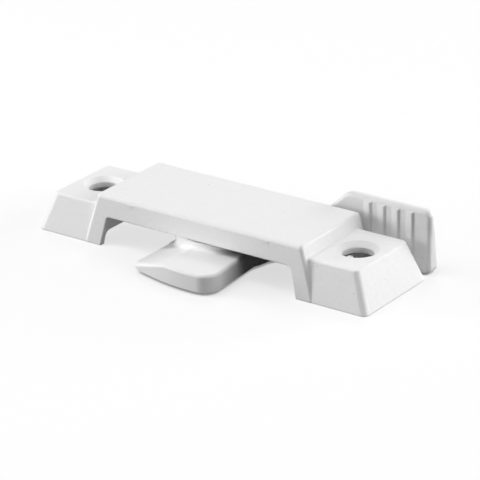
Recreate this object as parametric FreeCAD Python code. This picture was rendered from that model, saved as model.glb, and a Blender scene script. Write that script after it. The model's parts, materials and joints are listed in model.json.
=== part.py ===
import FreeCAD, Part
import math
import os

from FreeCAD import Vector

# Sash lock for a sliding window: a cast housing on two screw feet, and a cast lever that turns
# under its middle. Sizes are in millimetres. X runs along the housing, Y towards the room and
# Z away from the sash. The origin is where the pivot's axis meets the face of the sash.

# Fixing
hole_spacing = 57.15
screw_hole_diameter = 5.7
countersink_diameter = 7.8
countersink_depth = 0.9

# Feet of the housing
foot_height = 7.5
foot_width = 19.94
foot_past_hole = 8.18
foot_end_lean = 2.89
foot_front_lean = 1.7
foot_rear_lean = 1.97
foot_corner_radius = 1.2
foot_edge_radius = 0.5
foot_skin = 1.9
foot_wall = 1.0

# Block between the feet
block_height = 10.03
block_to_hole = 2.86
block_end_lean = 2.98
block_front_lean = 0.84
block_rear_lean = 0.49
block_proud = 0.08
block_end_radius = 0.7
block_front_radius = 0.9
block_rear_radius = 0.75
block_skin = 1.55
block_wall = 1.4
valley_radius = 0.35

# Openings under the block, one at the front and one at the rear
leg_width = 3.85
opening_height = 5.7
opening_flare = 1.4
opening_corner_left = 0.7
opening_corner_right = 1.25
opening_edge_radius = 0.3
cross_wall = 1.4
cross_wall_lift = 2.7
cross_wall_radius = 1.2
hollow_corner_radius = 0.8

# Pivot, cast with the housing, its end peened over the washer
post_diameter = 6.0
head_diameter = 8.6
head_thickness = 0.85
head_lift = 0.45
head_edge = 0.5
thrust_ring_diameter = 10.0
thrust_ring_height = 0.65

# Lever: hub
lever_lift = 0.75
disc_setback = 0.05
disc_gap = 0.3
disc_foot_radius = 0.7
disc_edge = 0.25
hub_gap = 0.1
bore_gap = 0.05
recess_diameter = 12.8
recess_depth = 2.35
flat_depth = 0.25

# Lever: tongue
tongue_thickness = 3.4
swing_gap = 0.45
tongue_corner_radius = 3.2
tongue_front_radius = 36.0
tongue_front_shift = 4.65
tongue_front_lean_deg = 13.5
tongue_tip_radius = 2.5
tongue_past_disc = 0.18
tongue_side_lean_deg = 4.0
ramp_run = 8.6
ramp_tip_thickness = 0.78
ramp_crest_radius = 1.5
tongue_edge_radius = 0.65

# Lever: arm and thumb tab
arm_side_from_leg = 5.0
arm_right_start = 0.2
arm_left = 7.2
arm_left_start = 2.0
arm_corner_radius = 2.5
tab_gap = 0.45
tab_lift = 0.1
tab_height = 12.36
tab_length_top = 17.9
tab_slope_deg = 43.5
tab_thickness_top = 2.0
tab_thickness_bottom = 3.8
tab_corner_radius = 1.5
tab_edge_radius = 0.7
tab_slope_radius = 3.0

# Grip ribs on the tab
rib_count = 4
rib_pitch = 3.0
rib_left_flank = 1.45
rib_right_flank = 0.45
rib_height = 0.35
rib_top_radius = 0.5
rib_end_margin = 3.75
rib_top_drop = 0.5

# Stops: a lug on the hub runs between two cast ribs
swing_deg = 90.0
lug_half_deg = 9.0
lug_reach = 1.35
lug_gap = 0.12
stop_half_deg = 8.0
stop_gap_deg = 0.6

# Washers
washer_gap = 0.03
retaining_diameter = 12.0
retaining_thickness = 0.8
wave_outer_diameter = 11.4
wave_inner_diameter = 6.8
wave_thickness = 0.3

# Detent spring
strip_length = 29.0
strip_thickness = 0.35
strip_bow = 1.12
strip_to_hub = 0.05
strip_to_wall = 0.1
strip_below_ceiling = 0.3
strip_above_disc = 0.4
seat_gap = 0.15
seat_thickness = 1.1
seat_reach = 1.05
peg_diameter = 1.1

# Lengths that follow from the sizes above
hole_x = hole_spacing / 2
housing_half = hole_x + foot_past_hole
foot_half_width = foot_width / 2
block_half_width = foot_half_width + block_proud
block_half = hole_x - block_to_hole
opening_half = block_half - leg_width
opening_top_half = opening_half - opening_flare
ceiling = block_height - block_skin
ceiling_root = ceiling + block_skin / 2
front_slope = block_front_lean / block_height
rear_slope = block_rear_lean / block_height
block_front_at_opening = block_half_width - front_slope * opening_height

# The strip's ends lie just off the front wall, and the hub fills what its bow leaves
strip_end_y = block_half_width - block_wall - front_slope * ceiling - strip_to_wall
strip_middle_y = strip_end_y - strip_thickness / 2 - strip_bow
strip_radius = ((strip_length / 2) ** 2 + strip_bow**2) / (2 * strip_bow)
hub_radius = strip_middle_y - strip_thickness / 2 - strip_to_hub

disc_radius = block_front_at_opening - disc_setback
disc_top = opening_height - disc_gap
tongue_half_width = disc_radius + tongue_past_disc
hub_top = ceiling - thrust_ring_height - hub_gap
plate_top = lever_lift + tongue_thickness
recess_top = lever_lift + recess_depth
swing_radius = opening_top_half - swing_gap
retaining_bottom = head_lift + head_thickness
retaining_top = retaining_bottom + retaining_thickness

tab_end = housing_half
tab_crest = block_half_width + tab_gap
tab_front = tab_crest + rib_height
tab_top = tab_lift + tab_height
tab_left_top = tab_end - tab_length_top
tab_slope = math.tan(math.radians(tab_slope_deg))
tab_left_at_plate = tab_left_top - (tab_top - plate_top) / tab_slope
arm_right = opening_half - arm_side_from_leg

# For choosing edges and for cutters: how close counts as the same place, how far a root or a
# cutter runs past a face, and a length beyond the whole lock
same = 0.001
root = 1.0
far = 3 * housing_half


def middle(edge):
    return edge.valueAt((edge.FirstParameter + edge.LastParameter) / 2)


def lies_on(edge, shape):
    # An edge lies on a solid's skin when its two ends and its middle do
    first = edge.valueAt(edge.FirstParameter)
    last = edge.valueAt(edge.LastParameter)
    skin = Part.makeCompound(shape.Faces)
    return all(skin.distToShape(Part.Vertex(p))[0] < 10 * same for p in (first, middle(edge), last))


def filleted(shape, radius, wanted):
    return shape.makeFillet(radius, [edge for edge in shape.Edges if wanted(edge)])


def chamfered(shape, width, wanted):
    return shape.makeChamfer(width, [edge for edge in shape.Edges if wanted(edge)])


def prism(points, push):
    # A closed outline of straight sides, pushed along a vector
    outline = Part.makePolygon(points + points[:1])
    return Part.Face(outline).extrude(push)


def prism_along_y(points, y_from, y_to):
    return prism([Vector(x, y_from, z) for x, z in points], Vector(0, y_to - y_from, 0))


def prism_along_x(points, x_from, x_to):
    return prism([Vector(x_from, y, z) for y, z in points], Vector(x_to - x_from, 0, 0))


def prism_along_z(points, z_from, z_to):
    return prism([Vector(x, y, z_from) for x, y in points], Vector(0, 0, z_to - z_from))


def cylinder(radius, z_from, z_to, x=0.0, y=0.0):
    return Part.makeCylinder(radius, z_to - z_from, Vector(x, y, z_from))


def frustum(x_base, x_top, front_base, front_top, rear_base, rear_top, height):
    # The solid that two leaning outlines share: one seen from the front, one seen from the end
    from_front = [(-x_base, 0), (x_base, 0), (x_top, height), (-x_top, height)]
    from_end = [(-front_base, 0), (rear_base, 0), (rear_top, height), (-front_top, height)]
    return prism_along_y(from_front, -far, far).common(prism_along_x(from_end, -far, far))


def climbs(edge, height):
    # The leaning corners of a frustum are the edges that go from its base to its top
    return abs(edge.Vertexes[0].Z - edge.Vertexes[-1].Z) > height / 2


def is_ridge(edge):
    # An edge along x at the block's height
    return abs(middle(edge).x) < same and abs(middle(edge).z - block_height) < same


def rounded_frustum(shape, height, corner_radius, edge_radius):
    # Leaning corners first, then the rim round the top
    def is_rim(edge):
        return all(abs(v.Z - height) < same for v in edge.Vertexes)

    return filleted(filleted(shape, corner_radius, lambda e: climbs(e, height)), edge_radius, is_rim)


def rounded_block():
    # The front and rear rims are rounded along the block's whole length. One fillet at each end
    # then runs up both leaning corners and over the top
    front_top = block_half_width - block_front_lean
    rear_top = block_half_width - block_rear_lean
    half = block_half_width
    from_end = [(-half, 0), (half, 0), (rear_top, block_height), (-front_top, block_height)]
    length = prism_along_x(from_end, -far, far)
    length = filleted(length, block_front_radius, lambda e: is_ridge(e) and middle(e).y < 0)
    length = filleted(length, block_rear_radius, lambda e: is_ridge(e) and middle(e).y > rear_top - same)
    top = block_half - block_end_lean
    from_front = [(-block_half, 0), (block_half, 0), (top, block_height), (-top, block_height)]
    block = length.common(prism_along_y(from_front, -far, far))

    def is_end_edge(edge):
        points = [middle(edge)] + [vertex.Point for vertex in edge.Vertexes]
        off = [abs(p.x) - block_half + block_end_lean * p.z / block_height for p in points]
        return middle(edge).z > same and max(abs(gap) for gap in off) < same

    return filleted(block, block_end_radius, is_end_edge)


def housing_outside():
    feet = frustum(
        housing_half,
        housing_half - foot_end_lean,
        foot_half_width,
        foot_half_width - foot_front_lean,
        foot_half_width,
        foot_half_width - foot_rear_lean,
        foot_height,
    )
    feet = rounded_frustum(feet, foot_height, foot_corner_radius, foot_edge_radius)
    block = rounded_block()
    outside = feet.fuse(block).removeSplitter()

    # The valley where the block's end comes down into the foot, over the front, top and rear
    def is_valley(edge):
        above_base = middle(edge).z > same
        return above_base and lies_on(edge, feet) and lies_on(edge, block)

    return filleted(outside, valley_radius, is_valley)


def opening_cut():
    # The front and rear openings are one cut right through, with its upper corners rounded
    outline = [
        (-opening_half, 0),
        (opening_half, 0),
        (opening_top_half, opening_height),
        (-opening_top_half, opening_height),
    ]
    cut = prism_along_y(outline, -far, far)

    def is_top_corner(edge):
        return abs(middle(edge).y) < same and abs(middle(edge).z - opening_height) < same

    cut = filleted(cut, opening_corner_left, lambda e: is_top_corner(e) and middle(e).x < 0)
    return filleted(cut, opening_corner_right, lambda e: is_top_corner(e) and middle(e).x > 0)


def block_hollow():
    # The space inside the block, its walls parallel to the outside
    inner_flare = opening_flare / opening_height * ceiling
    hollow = frustum(
        opening_half,
        opening_half - inner_flare,
        block_half_width - block_wall,
        block_half_width - block_wall - front_slope * ceiling,
        block_half_width - block_wall,
        block_half_width - block_wall - rear_slope * ceiling,
        ceiling,
    )
    return filleted(hollow, hollow_corner_radius, lambda e: climbs(e, ceiling))


def foot_hollow(side):
    # The space inside one foot, its walls parallel to the outside
    height = foot_height - foot_skin
    end_lean = foot_end_lean / foot_height * height
    front_lean = foot_front_lean / foot_height * height
    rear_lean = foot_rear_lean / foot_height * height
    inner_lean = opening_flare / opening_height * height
    inner = opening_half + cross_wall
    outer = housing_half - foot_wall
    hollow = frustum(
        outer,
        outer - end_lean,
        foot_half_width - foot_wall,
        foot_half_width - foot_wall - front_lean,
        foot_half_width - foot_wall,
        foot_half_width - foot_wall - rear_lean,
        height,
    )
    inner_side = [(inner, 0), (far, 0), (far, height), (inner - inner_lean, height)]
    hollow = hollow.common(prism_along_y(inner_side, -far, far))
    hollow = filleted(hollow, hollow_corner_radius, lambda e: climbs(e, height))
    if side < 0:
        hollow = hollow.mirror(Vector(0, 0, 0), Vector(1, 0, 0))
    return hollow


def cross_wall_notch():
    # The cross walls stop short of the sash, between the front and rear skirts
    reach = opening_half + cross_wall + foot_wall
    half = foot_half_width - foot_wall
    notch = Part.makeBox(2 * reach, 2 * half, 2 * cross_wall_lift, Vector(-reach, -half, -cross_wall_lift))

    def is_top_corner(edge):
        return abs(middle(edge).x) < same and middle(edge).z > 0

    return filleted(notch, cross_wall_radius, is_top_corner)


def screw_hole(x):
    # A short plain wall under a conical countersink
    hole = cylinder(screw_hole_diameter / 2, -root, foot_height + root, x)
    cone = Part.makeCone(
        screw_hole_diameter / 2,
        countersink_diameter / 2,
        countersink_depth,
        Vector(x, 0, foot_height - countersink_depth),
    )
    return hole.fuse(cone)


def pivot_post():
    # Thrust ring under the ceiling, plain post, and the head that the peening spread over the washer
    ring = cylinder(thrust_ring_diameter / 2, ceiling - thrust_ring_height, ceiling_root)
    shank = cylinder(post_diameter / 2, head_lift, ceiling_root)
    head = cylinder(head_diameter / 2, head_lift, retaining_bottom)
    head = chamfered(head, head_edge, lambda e: middle(e).z < head_lift + same and e.Closed)
    return shank.fuse([ring, head])


def ring_sector(inner, outer, z_from, z_to, middle_deg, half_deg):
    # Part of a ring, for the lug and for the stops that it meets
    sector = Part.makeCylinder(outer, z_to - z_from, Vector(0, 0, z_from), Vector(0, 0, 1), 2 * half_deg)
    sector = sector.cut(cylinder(inner, z_from - root, z_to + root))
    sector.rotate(Vector(0, 0, 0), Vector(0, 0, 1), middle_deg - half_deg)
    return sector


def stop_rib(middle_deg):
    # Hangs from the ceiling beside the hub, clear of the disc below it
    inner = hub_radius + lug_gap
    outer = hub_radius + lug_reach + 2 * lug_gap
    return ring_sector(inner, outer, opening_height, ceiling_root, middle_deg, stop_half_deg)


def strip_centre_line(x):
    # How far in front of the pivot the strip's middle line lies: a shallow bow towards the hub
    return strip_middle_y + strip_radius - math.sqrt(strip_radius**2 - x**2)


def spring_seat(side):
    # An end rib and a peg hold one end of the strip against the front wall
    seat_x = side * (strip_length / 2 + seat_gap)
    wall = block_half_width - block_wall / 2
    x_from = min(seat_x, seat_x + side * seat_thickness)
    rib = Part.makeBox(
        seat_thickness,
        wall - strip_end_y + seat_reach,
        ceiling_root - opening_height,
        Vector(x_from, -wall, opening_height),
    )
    peg_x = side * (strip_length / 2 - peg_diameter)
    peg_y = -(strip_centre_line(peg_x) - strip_thickness / 2 - seat_gap - peg_diameter / 2)
    peg = cylinder(peg_diameter / 2, opening_height, ceiling_root, peg_x, peg_y)
    return rib.fuse(peg)


def make_housing():
    outside = housing_outside()
    opening = opening_cut()
    body = outside.cut(opening)

    def is_opening_edge(edge):
        return lies_on(edge, opening) and lies_on(edge, outside) and middle(edge).z > same

    body = filleted(body, opening_edge_radius, is_opening_edge)
    body = body.cut(block_hollow())
    for side in (-1, 1):
        body = body.cut(foot_hollow(side))
    body = body.cut(cross_wall_notch())
    body = body.fuse(pivot_post())
    stop_offset = lug_half_deg + stop_gap_deg + stop_half_deg
    body = body.fuse([stop_rib(-stop_offset), stop_rib(swing_deg + stop_offset)])
    body = body.fuse([spring_seat(-1), spring_seat(1)])
    for x in (-hole_x, hole_x):
        body = body.cut(screw_hole(x))
    return body.removeSplitter()


def tongue_reach():
    # The front line is set so that its rounded corner just clears the housing's legs
    corner = tongue_half_width - tongue_corner_radius
    across = swing_radius - tongue_corner_radius
    return tongue_corner_radius + math.sqrt(across**2 - corner**2)


def tongue_front_y(x):
    # The front line is a wide arc, furthest out at tongue_front_shift
    centre = tongue_front_radius - tongue_reach()
    return centre - math.sqrt(tongue_front_radius**2 - (x - tongue_front_shift) ** 2)


def is_upright(edge):
    first = edge.Vertexes[0]
    last = edge.Vertexes[-1]
    return abs(first.X - last.X) < same and abs(first.Y - last.Y) < same


def upright_at(x, y):
    return lambda e: is_upright(e) and math.hypot(e.Vertexes[0].X - x, e.Vertexes[0].Y - y) < same


def tongue_outline():
    # A straight left side, a right side that leans in towards the disc, a wide arc at the front,
    # and a straight run that leaves the arc without a bend and goes back to the tip on the left
    side = tongue_half_width
    lean = math.radians(tongue_front_lean_deg)
    bend_x = tongue_front_shift - tongue_front_radius * math.sin(lean)
    bend_y = tongue_front_y(bend_x)
    right_y = tongue_front_y(side)
    tip_y = bend_y + (bend_x + side) * math.tan(lean)
    root_x = side + right_y * math.tan(math.radians(tongue_side_lean_deg))
    half_way = (bend_x + side) / 2
    bend = Vector(bend_x, bend_y, lever_lift)
    right = Vector(side, right_y, lever_lift)
    front = Part.Arc(bend, Vector(half_way, tongue_front_y(half_way), lever_lift), right).toShape()
    back_right = Vector(root_x, 0, lever_lift)
    back_left = Vector(-side, 0, lever_lift)
    rest = Part.makePolygon([right, back_right, back_left, Vector(-side, tip_y, lever_lift), bend])
    outline = Part.Face(Part.Wire([front] + rest.Edges)).extrude(Vector(0, 0, disc_top))
    outline = filleted(outline, tongue_corner_radius, upright_at(side, right_y))
    return filleted(outline, tongue_tip_radius, upright_at(-side, tip_y))


def ramp_tool():
    # What lies above the ramp. The ramp leaves the top face along a wide arc and falls to the left
    fall = (tongue_thickness - ramp_tip_thickness) / ramp_run
    lean = math.atan(fall)
    start = ramp_run - tongue_half_width
    setback = ramp_crest_radius * math.tan(lean / 2)
    centre_x = start + setback
    centre_z = plate_top - ramp_crest_radius
    steep_x = centre_x - ramp_crest_radius * math.sin(lean)
    steep_z = centre_z + ramp_crest_radius * math.cos(lean)
    half_x = centre_x - ramp_crest_radius * math.sin(lean / 2)
    half_z = centre_z + ramp_crest_radius * math.cos(lean / 2)
    crest = Part.Arc(
        Vector(centre_x, -far, plate_top),
        Vector(half_x, -far, half_z),
        Vector(steep_x, -far, steep_z),
    ).toShape()
    rest = Part.makePolygon(
        [
            Vector(steep_x, -far, steep_z),
            Vector(steep_x - far, -far, steep_z - far * fall),
            Vector(steep_x - far, -far, plate_top + root),
            Vector(centre_x, -far, plate_top + root),
            Vector(centre_x, -far, plate_top),
        ]
    )
    return Part.Face(Part.Wire([crest] + rest.Edges)).extrude(Vector(0, 2 * far, 0))


def disc():
    def is_top(edge):
        return middle(edge).z > disc_top - same and len(edge.Vertexes) == 1

    return chamfered(cylinder(disc_radius, lever_lift, disc_top), disc_edge, is_top)


def disc_on(plate):
    # The disc standing on a plate, with a fillet round its foot
    standing = plate.fuse(disc())

    def is_foot(edge):
        point = middle(edge)
        on_wall = abs(math.hypot(point.x, point.y) - disc_radius) < same
        return on_wall and lever_lift + same < point.z < disc_top - disc_edge - same

    return filleted(standing, disc_foot_radius, is_foot)


def front_of(y):
    return Part.makeBox(2 * far, far + y, far, Vector(-far, -far, -far / 2))


def tongue():
    outline = tongue_outline()
    plate = cylinder(far, -far, plate_top).cut(ramp_tool())
    whole = disc_on(plate).common(outline)

    # The rim is rounded in front of the fillet round the disc's foot
    rim_from = -math.sqrt((disc_radius + disc_foot_radius) ** 2 - (disc_radius - tongue_edge_radius) ** 2)
    front = whole.common(front_of(rim_from))
    back = whole.cut(front_of(rim_from))

    def is_rim(edge):
        point = middle(edge)
        on_outline = lies_on(edge, outline) and point.y < rim_from - same
        return on_outline and point.z > lever_lift + same and not is_upright(edge)

    return filleted(front, tongue_edge_radius, is_rim).fuse(back)


def tab_rear_y(z):
    lean = (tab_thickness_bottom - tab_thickness_top) / tab_height
    return tab_front + tab_thickness_bottom - lean * (z - tab_lift)


def arm():
    # From the disc out under the housing's rear opening to the tab
    outline = [
        (0, 0),
        (disc_radius, -arm_right_start),
        (arm_right, tab_front),
        (arm_right, tab_rear_y(plate_top)),
        (arm_left, tab_rear_y(plate_top)),
        (-arm_left_start, math.sqrt(disc_radius**2 - arm_left_start**2) - root),
    ]
    slab = prism_along_z(outline, lever_lift, plate_top)
    return filleted(slab, arm_corner_radius, upright_at(arm_left, tab_rear_y(plate_top)))


def tab_plate():
    # A slab seen from the front, thinner towards the top, with every corner and rim rounded
    seen_from_front = [
        (tab_left_at_plate, tab_lift),
        (tab_end, tab_lift),
        (tab_end, tab_top),
        (tab_left_top, tab_top),
        (tab_left_at_plate, plate_top),
    ]
    seen_from_end = [
        (tab_front, tab_lift),
        (tab_rear_y(tab_lift), tab_lift),
        (tab_rear_y(tab_top), tab_top),
        (tab_front, tab_top),
    ]
    slab = prism_along_y(seen_from_front, -far, far).common(prism_along_x(seen_from_end, -far, far))

    def runs_through(edge):
        first = edge.Vertexes[0]
        last = edge.Vertexes[-1]
        return abs(first.Y - last.Y) > tab_thickness_top / 2

    def is_soft_corner(edge):
        return runs_through(edge) and abs(middle(edge).x - tab_left_top) < same

    def is_front_rim(edge):
        return abs(middle(edge).y - tab_front) < same

    def is_rear_rim(edge):
        return all(abs(v.Y - tab_rear_y(v.Z)) < same for v in edge.Vertexes)

    slab = filleted(slab, tab_slope_radius, is_soft_corner)
    slab = filleted(slab, tab_corner_radius, lambda e: runs_through(e) and middle(e).x > tab_end - same)
    slab = filleted(slab, tab_edge_radius, is_front_rim)
    return filleted(slab, tab_edge_radius, is_rear_rim)


def grip_ribs(slab):
    # Upright ribs, gentle on the left and steep on the right, with a rounded crest. They're trimmed
    # by the tab's own rounded outline moved forward, and at the top by the same moved down as well
    forward = slab.copy()
    forward.translate(Vector(0, -rib_height, 0))
    lower = forward.copy()
    lower.translate(Vector(0, 0, -rib_top_drop))
    trimmed = forward.common(lower).fuse(slab)
    ribs = []
    for index in range(rib_count):
        x = tab_end - rib_end_margin - rib_pitch * index
        outline = [
            (x - rib_left_flank, tab_front + rib_height),
            (x - rib_left_flank, tab_front),
            (x, tab_front - rib_height),
            (x + rib_right_flank, tab_front),
            (x + rib_right_flank, tab_front + rib_height),
        ]
        rib = prism_along_z(outline, tab_lift, tab_top)
        rib = filleted(rib, rib_top_radius, upright_at(x, tab_front - rib_height))
        ribs.append(rib.common(trimmed))
    return ribs


def hub():
    # The hub stands on the disc. Two flats, a quarter turn apart, are what the strip rests on
    body = cylinder(hub_radius, disc_top - root, hub_top)
    to_flat = hub_radius - flat_depth
    body = body.cut(Part.makeBox(2 * far, far, far, Vector(-far, -far - to_flat, disc_top)))
    body = body.cut(Part.makeBox(far, 2 * far, far, Vector(-far - to_flat, -far, disc_top)))
    inner = hub_radius - root
    outer = hub_radius + lug_reach
    lug = ring_sector(inner, outer, disc_top - root, ceiling - hub_gap, 0, lug_half_deg)
    return body.fuse(lug)


def make_lever():
    slab = tab_plate()
    body = arm().fuse([slab] + grip_ribs(slab))
    body = body.fuse([tongue(), disc(), hub()]).removeSplitter()
    body = body.cut(cylinder(post_diameter / 2 + bore_gap, 0, ceiling))
    return body.cut(cylinder(recess_diameter / 2, 0, recess_top))


def make_wave_washer():
    # A spring washer of one wave: its two ends rest on the flat washer, its crown meets the lever
    low = retaining_top + washer_gap
    high = recess_top - washer_gap
    rise = high - low - wave_thickness
    half = wave_outer_diameter / 2
    radius = (half**2 + rise**2) / (2 * rise)
    bent = Part.makeCylinder(radius + wave_thickness, 2 * far, Vector(0, -far, 0), Vector(0, 1, 0))
    bent = bent.cut(Part.makeCylinder(radius, 2 * far, Vector(0, -far, 0), Vector(0, 1, 0)))
    bent.translate(Vector(0, 0, high - radius - wave_thickness))
    ring = cylinder(half, low - root, high + root)
    ring = ring.cut(cylinder(wave_inner_diameter / 2, low - 2 * root, high + 2 * root))
    return ring.common(bent)


def make_retaining_washer():
    plate = cylinder(retaining_diameter / 2, retaining_bottom, retaining_top)
    return plate.cut(cylinder(post_diameter / 2 + washer_gap, 0, ceiling))


def make_detent_spring():
    # A flat strip bowed towards the hub, standing on edge
    bottom = disc_top + strip_above_disc
    top = ceiling - strip_below_ceiling
    bow_y = -(strip_middle_y + strip_radius)
    strip = cylinder(strip_radius + strip_thickness / 2, bottom, top, 0, bow_y)
    strip = strip.cut(cylinder(strip_radius - strip_thickness / 2, 0, ceiling, 0, bow_y))
    return strip.common(Part.makeBox(strip_length, 2 * far, ceiling, Vector(-strip_length / 2, bow_y, 0)))


def save(shape, name):
    shape.exportStep(f"parts/{name}.step")
    solids = len(shape.Solids)
    print(f"{name}: {solids} solid(s), {shape.Volume:.1f} mm3, valid {shape.isValid()}")


os.makedirs("parts", exist_ok=True)
save(make_housing(), "housing")
save(make_lever(), "lever")
save(make_wave_washer(), "wave_washer")
save(make_retaining_washer(), "retaining_washer")
save(make_detent_spring(), "detent_spring")
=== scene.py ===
import json
import math

import bpy
from mathutils import Matrix, Vector


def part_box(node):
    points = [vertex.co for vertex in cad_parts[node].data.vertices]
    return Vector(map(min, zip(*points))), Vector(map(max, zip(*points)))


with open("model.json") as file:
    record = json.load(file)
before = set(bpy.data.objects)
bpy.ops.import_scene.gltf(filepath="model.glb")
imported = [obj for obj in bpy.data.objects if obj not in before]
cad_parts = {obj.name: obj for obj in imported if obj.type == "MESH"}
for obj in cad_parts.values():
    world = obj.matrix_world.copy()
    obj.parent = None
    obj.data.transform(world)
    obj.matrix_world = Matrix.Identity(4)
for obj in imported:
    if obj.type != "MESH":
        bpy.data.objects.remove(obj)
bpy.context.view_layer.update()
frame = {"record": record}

# From the frame, in metres: the screw holes, either side of the pivot, and the washer below the lever
mounts = {mount["name"]: mount["dims"] for mount in frame["record"]["mounts"]}
holeX = mounts["screw_holes"]["spacing_x_mm"] / 2000.0
holeRadius = mounts["screw_holes"]["hole_r_mm"] / 1000.0
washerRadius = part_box("retaining_washer")[1].x


class Wire:
    # One output of a shader tree. + - * and the methods below add the nodes that they need
    def __init__(self, finish, socket):
        self.finish = finish
        self.socket = socket

    def math(self, operation, first, second=None):
        values = {"Value": first}
        if second is not None:
            values["Value_001"] = second
        return self.finish.add("ShaderNodeMath", {"operation": operation}, values)["Value"]

    def __add__(self, other):
        return self.math("ADD", self, other)

    def __radd__(self, other):
        return self.math("ADD", other, self)

    def __sub__(self, other):
        return self.math("SUBTRACT", self, other)

    def __rsub__(self, other):
        return self.math("SUBTRACT", other, self)

    def __mul__(self, other):
        return self.math("MULTIPLY", self, other)

    def __rmul__(self, other):
        return self.math("MULTIPLY", other, self)

    def __abs__(self):
        return self.math("ABSOLUTE", self)

    def larger(self, other):
        return self.math("MAXIMUM", self, other)

    def reach(self, other):
        # Length of the hypotenuse over self and other
        return self.math("SQRT", self * self + other * other)

    def below(self, limit, soft):
        # 1 where the value is under limit, 0 above limit + soft, a smooth step between
        settings = {"interpolation_type": "SMOOTHSTEP"}
        values = {"Value": self - limit, "From Min": 0.0, "From Max": soft, "To Min": 1.0, "To Max": 0.0}
        return self.finish.add("ShaderNodeMapRange", settings, values)["Result"]

    def above(self, limit, soft):
        # 0 where the value is under limit, 1 above limit + soft
        return 1.0 - self.below(limit, soft)

    def swing(self):
        # How far a noise is from its middle
        return self - 0.5


class Finish:
    # The shader tree of one material or of the world, with one method that adds any node to it
    def __init__(self, owner):
        owner.use_nodes = True
        self.owner = owner
        self.tree = owner.node_tree
        self.tree.nodes.clear()

    def add(self, kind, settings=None, values=None):
        # Settings go in before the sockets, because some of them decide which sockets there are
        node = self.tree.nodes.new(kind)
        for key, value in (settings or {}).items():
            setattr(node, key, value)
        sockets = {socket.identifier: socket for socket in node.inputs}
        for key, value in (values or {}).items():
            if isinstance(value, Wire):
                self.tree.links.new(value.socket, sockets[key])
            else:
                sockets[key].default_value = value
        return {socket.identifier: Wire(self, socket) for socket in node.outputs}

    def place(self):
        return self.add("ShaderNodeTexCoord")["Object"]

    def coordinates(self):
        parts = self.add("ShaderNodeSeparateXYZ", None, {"Vector": self.place()})
        return parts["X"], parts["Y"], parts["Z"]

    def noise(self, size, detail, closeness=(1.0, 1.0, 1.0)):
        # Cloudy values round 0.5. size is how far apart the lumps are, in metres, detail how fine
        # they get, and closeness how many times closer than that they lie along each axis
        scaled = {"Vector": self.place(), "Vector_001": closeness}
        scaled = self.add("ShaderNodeVectorMath", {"operation": "MULTIPLY"}, scaled)["Vector"]
        values = {"Vector": scaled, "Scale": 1.0 / size, "Detail": detail}
        return self.add("ShaderNodeTexNoise", None, values)["Fac"]

    def rings(self, spacing, unevenness):
        # Circles round the pivot's axis, as a tool or a rubbing washer leaves them. The node's wave
        # turns through 20 radians for each unit
        settings = {"wave_type": "RINGS", "rings_direction": "Z"}
        scale = 2.0 * math.pi / (20.0 * spacing)
        values = {"Vector": self.place(), "Scale": scale, "Distortion": unevenness, "Detail": 1.0}
        return self.add("ShaderNodeTexWave", settings, values)["Fac"]

    def mixed(self, factor, first, second):
        values = {"Factor_Float": factor, "A_Color": first, "B_Color": second}
        return self.add("ShaderNodeMix", {"data_type": "RGBA"}, values)["Result_Color"]

    def bump(self, height):
        values = {"Height": height, "Distance": 1.0, "Strength": 1.0}
        return self.add("ShaderNodeBump", None, values)["Normal"]

    def surface(self, values):
        shader = self.add("ShaderNodeBsdfPrincipled", None, values)["BSDF"]
        self.add("ShaderNodeOutputMaterial", None, {"Surface": shader})
        return self.owner


photoView = {
    "azimuth": 36.171,       # degrees, from the front towards the right
    "elevation": 23.127,
    "roll": -1.236,
    "distance": 0.501782,
    "aim": (0.001281, 0.002070, 0.002143),
    "lens": 205.089,         # mm
    "sensor": 36.0,
    "nearest": 0.01,
    "farthest": 20.0,
}


def towards(azimuth, elevation):
    # A unit arrow at so many degrees from the front towards the right, and so many upwards
    around = math.radians(azimuth)
    upwards = math.radians(elevation)
    flat = math.cos(upwards)
    return Vector((math.sin(around) * flat, -math.cos(around) * flat, math.sin(upwards)))


def placeCamera(view):
    # The camera stands at aim + distance * back, where back points from the aim to the camera
    back = towards(view["azimuth"], view["elevation"])
    level = towards(view["azimuth"] + 90.0, 0.0)
    right = Matrix.Rotation(math.radians(view["roll"]), 3, back) @ level
    up = back.cross(right)
    camera = bpy.data.cameras.new("photoCamera")
    camera.sensor_fit = "HORIZONTAL"
    camera.sensor_width = view["sensor"]
    camera.lens = view["lens"]
    camera.clip_start = view["nearest"]
    camera.clip_end = view["farthest"]
    holder = bpy.data.objects.new("photoCamera", camera)
    place = Matrix((right, up, back)).transposed().to_4x4()
    place.translation = Vector(view["aim"]) + view["distance"] * back
    holder.matrix_world = place
    bpy.context.scene.collection.objects.link(holder)
    bpy.context.scene.camera = holder


placeCamera(photoView)
print("camera placed")


white = (1.0, 1.0, 1.0, 1.0)

studio = {
    "reflected": 0.4,                         # how bright the white round the lock is in its gloss
    "floorSide": 6.0,
    "floorDrop": 0.00003,                     # a hair, so that the floor and the feet don't share a plane
    "floorGrey": (0.15, 0.15, 0.15, 1.0),     # what the floor throws back on the lock
    "footReach": 0.0075,                      # round each screw hole it throws back white, into the foot
    "footSoft": 0.0005,
    "shadowShare": 0.32,                      # how much of the lock's shadow the floor shows
    "nearShade": (0.32, 0.32, 0.32, 1.0),      # painted contact shade, where a piece almost lies on it
    "nearReach": 0.004,
    "nearFrom": 0.12,
    "nearSoft": 0.20,
    "nearSamples": 16,
    "lampSize": 0.35,
    "lampAway": 0.8,
    "lamps": {                                # azimuth and elevation in degrees, and watts
        "leftLow": (-60, 12, 3.64),
        "leftHigh": (-60, 50, 0.87),
        "frontLow": (-30, 12, 0.92),
        "frontHigh": (-30, 72, 1.78),
        "frontTop": (0, 50, 0.37),
        "rightLow": (110, 12, 1.73),
        "rightMiddle": (90, 28, 1.04),
        "right": (110, 28, 0.74),
        "rearLow": (150, 12, 3.23),
        "rearHigh": (-150, 50, 1.38),
    },
}


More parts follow.
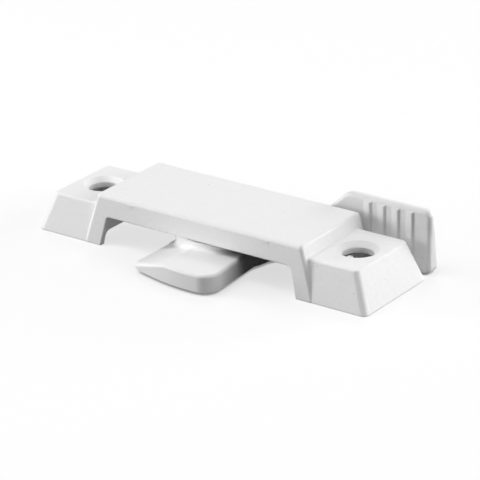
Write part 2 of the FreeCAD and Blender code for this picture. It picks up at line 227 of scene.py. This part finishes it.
def seenBy(finish, reflected):
    # 1 for the camera, less for reflections, and 0 for the light that the lock itself gets
    rays = finish.add("ShaderNodeLightPath")
    return rays["Is Camera Ray"].larger(rays["Is Glossy Ray"] * reflected)


def makeFloor(values):
    half = values["floorSide"] / 2.0
    level = -values["floorDrop"]
    corners = [(-half, -half, level), (half, -half, level), (half, half, level), (-half, half, level)]
    mesh = bpy.data.meshes.new("floor")
    mesh.from_pydata(corners, [], [(0, 1, 2, 3)])
    floor = bpy.data.objects.new("floor", mesh)
    bpy.context.scene.collection.objects.link(floor)

    finish = Finish(bpy.data.materials.new("paleFloor"))
    x, y = finish.coordinates()[:2]
    underFoot = (abs(x) - holeX).reach(y).below(values["footReach"], values["footSoft"])
    thrown = finish.mixed(underFoot, values["floorGrey"], white)
    plain = finish.add("ShaderNodeBsdfDiffuse", None, {"Color": thrown})["BSDF"]

    # The eye sees it nearly white, with the lock's soft shadow, and painted contact shade where a piece
    # almost lies on it
    samples = {"samples": values["nearSamples"]}
    near = finish.add("ShaderNodeAmbientOcclusion", samples, {"Distance": values["nearReach"]})["AO"]
    glowAndShade = finish.mixed(near.below(values["nearFrom"], values["nearSoft"]), white, values["nearShade"])
    shaded = finish.add("ShaderNodeBsdfDiffuse", None, {"Color": glowAndShade})["BSDF"]
    bright = finish.add("ShaderNodeEmission", None, {"Color": glowAndShade, "Strength": 1.0})["Emission"]
    seen = {"Fac": values["shadowShare"], "Shader": bright, "Shader_001": shaded}
    seen = finish.add("ShaderNodeMixShader", None, seen)["Shader"]
    both = {"Fac": seenBy(finish, values["reflected"]), "Shader": plain, "Shader_001": seen}
    both = finish.add("ShaderNodeMixShader", None, both)["Shader"]
    finish.add("ShaderNodeOutputMaterial", None, {"Surface": both})
    mesh.materials.append(finish.owner)


def makeSurroundings(values):
    # White where the camera or a reflection sees them, and no light of their own
    world = bpy.data.worlds.new("surroundings")
    bpy.context.scene.world = world
    finish = Finish(world)
    dark = finish.add("ShaderNodeBackground", None, {"Color": white, "Strength": 0.0})["Background"]
    seen = finish.add("ShaderNodeBackground", None, {"Color": white, "Strength": 1.0})["Background"]
    both = {"Fac": seenBy(finish, values["reflected"]), "Shader": dark, "Shader_001": seen}
    both = finish.add("ShaderNodeMixShader", None, both)["Shader"]
    finish.add("ShaderNodeOutputWorld", None, {"Surface": both})


def makeLamp(name, azimuth, elevation, watts, values):
    # A disc that looks at the pivot and isn't seen itself
    direction = towards(azimuth, elevation)
    lamp = bpy.data.lights.new(name, "AREA")
    lamp.shape = "DISK"
    lamp.size = values["lampSize"]
    lamp.energy = watts
    holder = bpy.data.objects.new(name, lamp)
    place = direction.to_track_quat("Z", "Y").to_matrix().to_4x4()
    place.translation = direction * values["lampAway"]
    holder.matrix_world = place
    holder.visible_camera = False
    bpy.context.scene.collection.objects.link(holder)


makeFloor(studio)
makeSurroundings(studio)
for lampName, (azimuth, elevation, watts) in studio["lamps"].items():
    makeLamp(lampName, azimuth, elevation, watts, studio)
bpy.context.scene.view_settings.view_transform = "Standard"
print("floor, surroundings and lamps placed")


smooth = 1.0    # the detail of a noise: rounded lumps, clouds or grain
cloudy = 2.0
grainy = 3.0

coat = {
    "white": (0.940, 0.940, 0.940, 1.0),      # baked enamel on zinc
    "dull": (0.905, 0.905, 0.905, 1.0),       # its wide, faint clouds
    "dullShare": 0.5,
    "toneSize": 0.018,
    "mottle": (0.845, 0.845, 0.845, 1.0),     # its fine mottling
    "mottleShare": 0.9,
    "mottleSize": 0.00055,
    "peelSize": 0.0011,                       # orange peel
    "peelHeight": 0.0000300,
    "grainSize": 0.00035,
    "grainHeight": 0.0000090,
    "thinAndShade": (0.20, 0.20, 0.20, 1.0),          # dull zinc where little of the spray reaches, and painted shade in hollows and under the block
    "thinAndShadeShare": 0.85,
    "thinAndShadeTone": 0.3,                          # how much the clouds and the grain change it
    "thinAndShadeGrain": 0.2,
    "zinc": (0.58, 0.58, 0.59, 1.0),          # bare metal, pressed and rubbed
    "hammerSize": 0.0009,
    "hammerHeight": 0.000012,
    "roughness": 0.42,
    "roughnessTone": 0.05,
    "roughnessGrain": 0.08,
    "thinRoughness": 0.62,
    "zincRoughness": 0.34,
    "zincHammer": 0.2,
    "refraction": 1.5,
    "speck": (0.58, 0.58, 0.57, 1.0),         # a few specks of dust, baked in
    "speckCell": 0.0016,                      # one at most in each cell of this size
    "speckRadius": 0.00014,
    "speckShare": 0.14,                       # of the cells
    "speckSoft": 0.01,
}


def enamel(finish, values, thinAndShade, bare):
    # White enamel. Its two masks run 0 to 1: the first darkens it for thin overspray and for painted
    # shade, and bare takes the enamel off
    tone = finish.noise(values["toneSize"], cloudy)
    peel = finish.noise(values["peelSize"], smooth)
    grain = finish.noise(values["grainSize"], grainy)
    mottle = finish.noise(values["mottleSize"], grainy)
    hammer = finish.noise(values["hammerSize"], smooth)
    cell = {"Vector": finish.place(), "Scale": 1.0 / values["speckCell"]}
    cell = finish.add("ShaderNodeTexVoronoi", {"feature": "F1"}, cell)
    chosen = finish.add("ShaderNodeSeparateColor", None, {"Color": cell["Color"]})["Red"]
    core = values["speckRadius"] / values["speckCell"] / 2.0
    speck = cell["Distance"].below(core, core) * chosen.below(values["speckShare"], values["speckSoft"])

    thinAndShadeDepth = values["thinAndShadeShare"] + values["thinAndShadeTone"] * tone.swing() + values["thinAndShadeGrain"] * grain.swing()
    colour = finish.mixed(tone * values["dullShare"], values["white"], values["dull"])
    colour = finish.mixed(mottle * values["mottleShare"], colour, values["mottle"])
    colour = finish.mixed(speck, colour, values["speck"])
    # Darker for thin overspray, and painted shade in the hollows, under the block and on the tab
    colour = finish.mixed(thinAndShade * thinAndShadeDepth, colour, values["thinAndShade"])
    colour = finish.mixed(bare, colour, values["zinc"])

    coated = 1.0 - bare
    height = peel * values["peelHeight"] + grain * values["grainHeight"]
    height = coated * height + bare * hammer * values["hammerHeight"]
    roughness = values["roughness"] + grain.swing() * values["roughnessGrain"]
    roughness = roughness + tone.swing() * values["roughnessTone"]
    roughness = roughness + thinAndShade * (values["thinRoughness"] - values["roughness"])
    pressed = values["zincRoughness"] + hammer.swing() * values["zincHammer"]
    roughness = coated * roughness + bare * pressed
    return finish.surface(
        {
            "Base Color": colour,
            "Roughness": roughness,
            "Metallic": bare,
            "Normal": finish.bump(height),
            "IOR": values["refraction"],
        }
    )


# Where the housing's enamel is thin or missing, and where shade is painted on it, in metres
housingThinAndShade = {
    "wall": 0.0093,              # half way through the long walls, at the base
    "wallLean": 0.15,            # how far they lean in for each metre up
    "wallFade": 0.0025,          # beside them the darkening fades out
    "end": 0.0362,               # half way through a foot's end wall, at the base
    "endLean": 0.385,
    "endFade": 0.0004,
    "roofBlock": 0.0088,         # half way through the block's roof and a foot's
    "roofFoot": 0.0061,
    "footFrom": 0.0213,          # a foot's hollow starts here
    "footSoft": 0.0004,
    "footShare": 0.20,           # the feet are open below, so less painted shade goes in them
    "blockTo": 0.0180,           # the opening's cheeks beyond it are white
    "blockSoft": 0.0020,
    "holePast": 0.00005,         # how far into its wall a screw hole counts
    "holeShare": 0.1,
    "rim": 0.00006,              # the feet's lowest edge, a little darker where they stand on the floor
    "rimSoft": 0.00022,
    "rimShare": 0.4,
    "headRadius": 0.0044,        # the post's peened head
    "headTop": 0.00135,
    "edge": 0.0002,              # how soft the edges are where nothing else is said
}


def housingCoat(values, places):
    finish = Finish(bpy.data.materials.new("housingEnamel"))
    x, y, z = finish.coordinates()
    edge = places["edge"]
    inFoot = abs(x).above(places["footFrom"], places["footSoft"])
    roof = z.below(places["roofBlock"], edge) * (1.0 - inFoot) + z.below(places["roofFoot"], edge) * inFoot
    across = abs(y) + z * places["wallLean"]
    across = across.below(places["wall"] - places["wallFade"], places["wallFade"])
    along = abs(x) + z * places["endLean"]
    along = along.below(places["end"] - places["endFade"], places["endFade"])
    share = abs(x).below(places["blockTo"], places["blockSoft"]) + inFoot * places["footShare"]
    # Painted shade, with thin overspray, inside the block and in the feet's hollows
    inside = roof * across * along * share
    # The screw holes' walls and the feet's lowest edge are a little darker
    inHole = (abs(x) - holeX).reach(y).below(holeRadius + places["holePast"], edge) * places["holeShare"]
    onRim = z.below(places["rim"], places["rimSoft"]) * places["rimShare"]
    head = x.reach(y).below(places["headRadius"], edge) * z.below(places["headTop"], edge)
    return enamel(finish, values, inside.larger(inHole).larger(onRim), head)


# Where the lever's enamel is thin, and where shade is painted on it, in metres
leverThinAndShade = {
    "recessPast": 0.00045,       # from the washer's edge to a hair into the recess's wall
    "recessSoft": 0.0002,
    "recessTop": 0.0032,
    "recessTopSoft": 0.0003,
    "coverFrom": 0.0098,         # painted shade on its front half under the block, counted forwards from the pivot
    "coverSoft": 0.0030,
    "coverBottom": 0.0003,       # its underside is white
    "coverBottomSoft": 0.0005,
    "shadeRightOf": 0.0010,         # the painted shade starts this far right of the pivot
    "shadeRightSoft": 0.0040,
    "tabShadeFrom": 0.0100,          # painted shade on the tab's front face, above the feet
    "tabShadeFromSoft": 0.0003,
    "tabShadeTo": 0.0114,
    "tabShadeToSoft": 0.0008,
    "tabShadeBottom": 0.0065,
    "tabShadeBottomSoft": 0.0030,
    "tabShadeShare": 0.27,
}


def leverCoat(values, places):
    finish = Finish(bpy.data.materials.new("leverEnamel"))
    x, y, z = finish.coordinates()
    inRecess = x.reach(y).below(washerRadius + places["recessPast"], places["recessSoft"])
    inRecess = inRecess * z.below(places["recessTop"], places["recessTopSoft"])
    # Painted shade on the lever where the block's front half covers it
    shadeUnderBlock = y.above(-places["coverFrom"], places["coverSoft"]) * y.below(0.0, places["coverSoft"])
    shadeUnderBlock = shadeUnderBlock * z.above(places["coverBottom"], places["coverBottomSoft"])
    shadeUnderBlock = shadeUnderBlock * x.above(places["shadeRightOf"], places["shadeRightSoft"])
    # Painted shade on the upper part of the tab's front face
    tabShade = y.below(places["tabShadeTo"], places["tabShadeToSoft"])
    tabShade = tabShade * y.above(places["tabShadeFrom"], places["tabShadeFromSoft"])
    tabShade = tabShade * z.above(places["tabShadeBottom"], places["tabShadeBottomSoft"]) * places["tabShadeShare"]
    return enamel(finish, values, inRecess.larger(shadeUnderBlock).larger(tabShade), 0.0)


steel = {
    "pale": (0.63, 0.62, 0.60, 1.0),
    "blued": (0.50, 0.51, 0.53, 1.0),
    "bluedClouds": 0.7,
    "bluedMarks": 0.3,
    "cloudSize": 0.004,
    "grainSize": 0.00025,
    "markHeight": 0.0000012,
    "roughness": 0.30,
    "roughnessClouds": 0.16,
    "roughnessGrain": 0.12,
    "turnedSpacing": 0.00022,    # the circles on the washers
    "turnedUnevenness": 1.5,
    "rolledSize": 0.00012,       # the lines along the strip
    "rolledCloseness": (0.03, 0.03, 1.0),
}


def turned(finish, values):
    return finish.rings(values["turnedSpacing"], values["turnedUnevenness"])


def rolled(finish, values):
    return finish.noise(values["rolledSize"], cloudy, values["rolledCloseness"])


def steelFinish(name, values, marked):
    # Rolled or stamped steel, brighter where it was rubbed. marked makes the fine marks on it
    finish = Finish(bpy.data.materials.new(name))
    cloud = finish.noise(values["cloudSize"], grainy)
    marks = marked(finish, values)
    grain = finish.noise(values["grainSize"], cloudy)
    blued = cloud * values["bluedClouds"] + marks * values["bluedMarks"]
    roughness = values["roughness"] + cloud.swing() * values["roughnessClouds"]
    return finish.surface(
        {
            "Base Color": finish.mixed(blued, values["pale"], values["blued"]),
            "Roughness": roughness + grain.swing() * values["roughnessGrain"],
            "Metallic": 1.0,
            "Normal": finish.bump((marks + grain) * values["markHeight"]),
        }
    )


finishes = {
    "housing": housingCoat(coat, housingThinAndShade),
    "lever": leverCoat(coat, leverThinAndShade),
    "wave_washer": steelFinish("springSteel", steel, turned),
    "retaining_washer": steelFinish("washerSteel", steel, turned),
    "detent_spring": steelFinish("stripSteel", steel, rolled),
}
for node, finish in finishes.items():
    bpy.data.objects[node].data.materials[0] = finish
print("enamel on both castings, steel on the washers and the strip")
